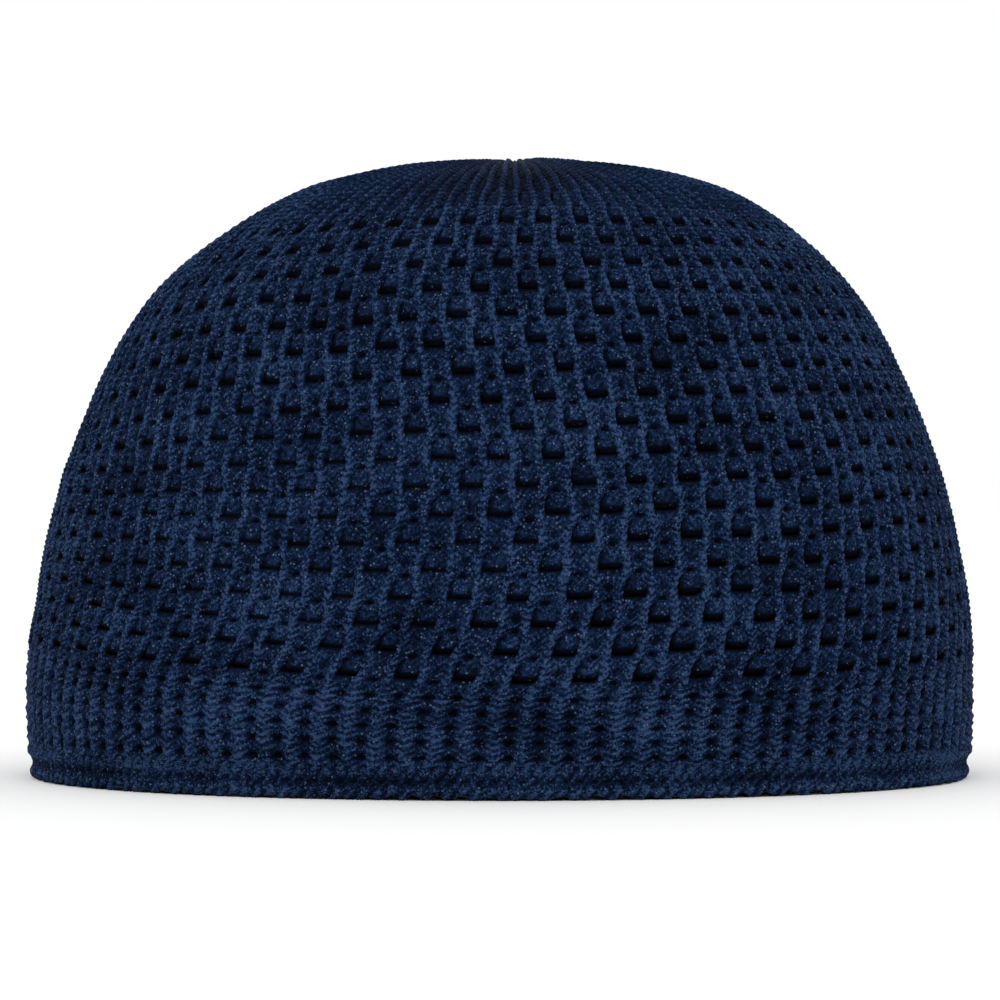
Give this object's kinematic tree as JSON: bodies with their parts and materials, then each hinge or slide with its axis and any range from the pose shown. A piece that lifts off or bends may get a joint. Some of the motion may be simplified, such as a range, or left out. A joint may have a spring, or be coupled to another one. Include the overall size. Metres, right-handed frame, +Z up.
{
  "type": "knitted kufi",
  "caption": "Brimless knitted kufi: a domed mesh crown gathered at the top, over a close-ribbed band and a scalloped rolled hem, open below for the head.",
  "frame": {"origin": "middle of the rim's plane, on the surface that the cap stands on", "axes": "+Z up from the rim to the gathered top, -Y to the front of the picture, +X to the picture's right"},
  "size_m": [0.1915, 0.164, 0.1251],
  "materials": {
    "crown_yarn": "navy nylon mesh knit",
    "band_yarn": "navy nylon close rib knit",
    "hem_yarn": "navy nylon rolled knit hem"
  },
  "bodies": {
    "root": {"crown": "crown_yarn", "band": "band_yarn", "hem": "hem_yarn"}
  },
  "joints": []
}
